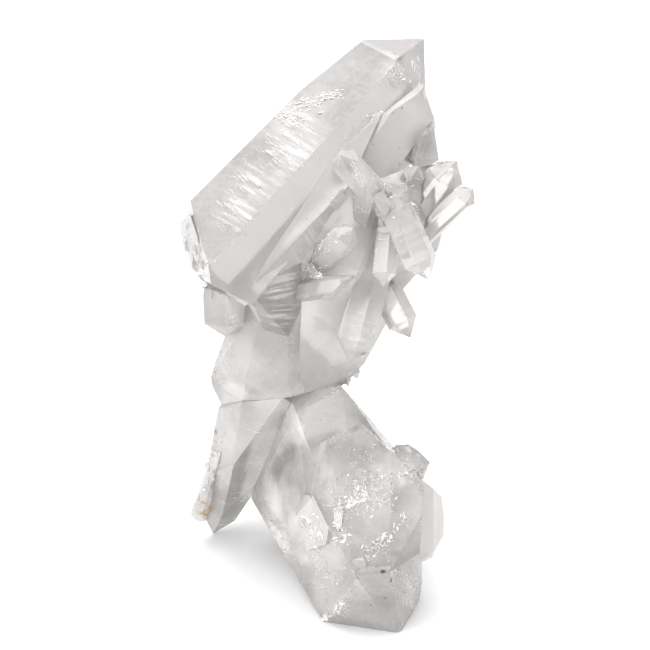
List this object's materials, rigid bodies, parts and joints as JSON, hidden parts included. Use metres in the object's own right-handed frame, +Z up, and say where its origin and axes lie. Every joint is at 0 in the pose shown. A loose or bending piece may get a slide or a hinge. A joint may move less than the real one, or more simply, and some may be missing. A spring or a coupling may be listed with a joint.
{
  "type": "quartz crystal cluster",
  "caption": "Natural clear quartz cluster: a great leaning point over a waisted trunk with small side points, standing on a broad blocky crystal and a tapering one.",
  "frame": {"origin": "centre of the bounding box at the level the cluster stands on", "axes": "+Z up, +X to the right of the side the great point leans across, so that the reader's side is -Y"},
  "size_m": [0.0716, 0.0768, 0.1381],
  "materials": {
    "quartz": "smooth, partly milky"
  },
  "bodies": {
    "root": {"quartz_cluster": "quartz"}
  },
  "joints": []
}
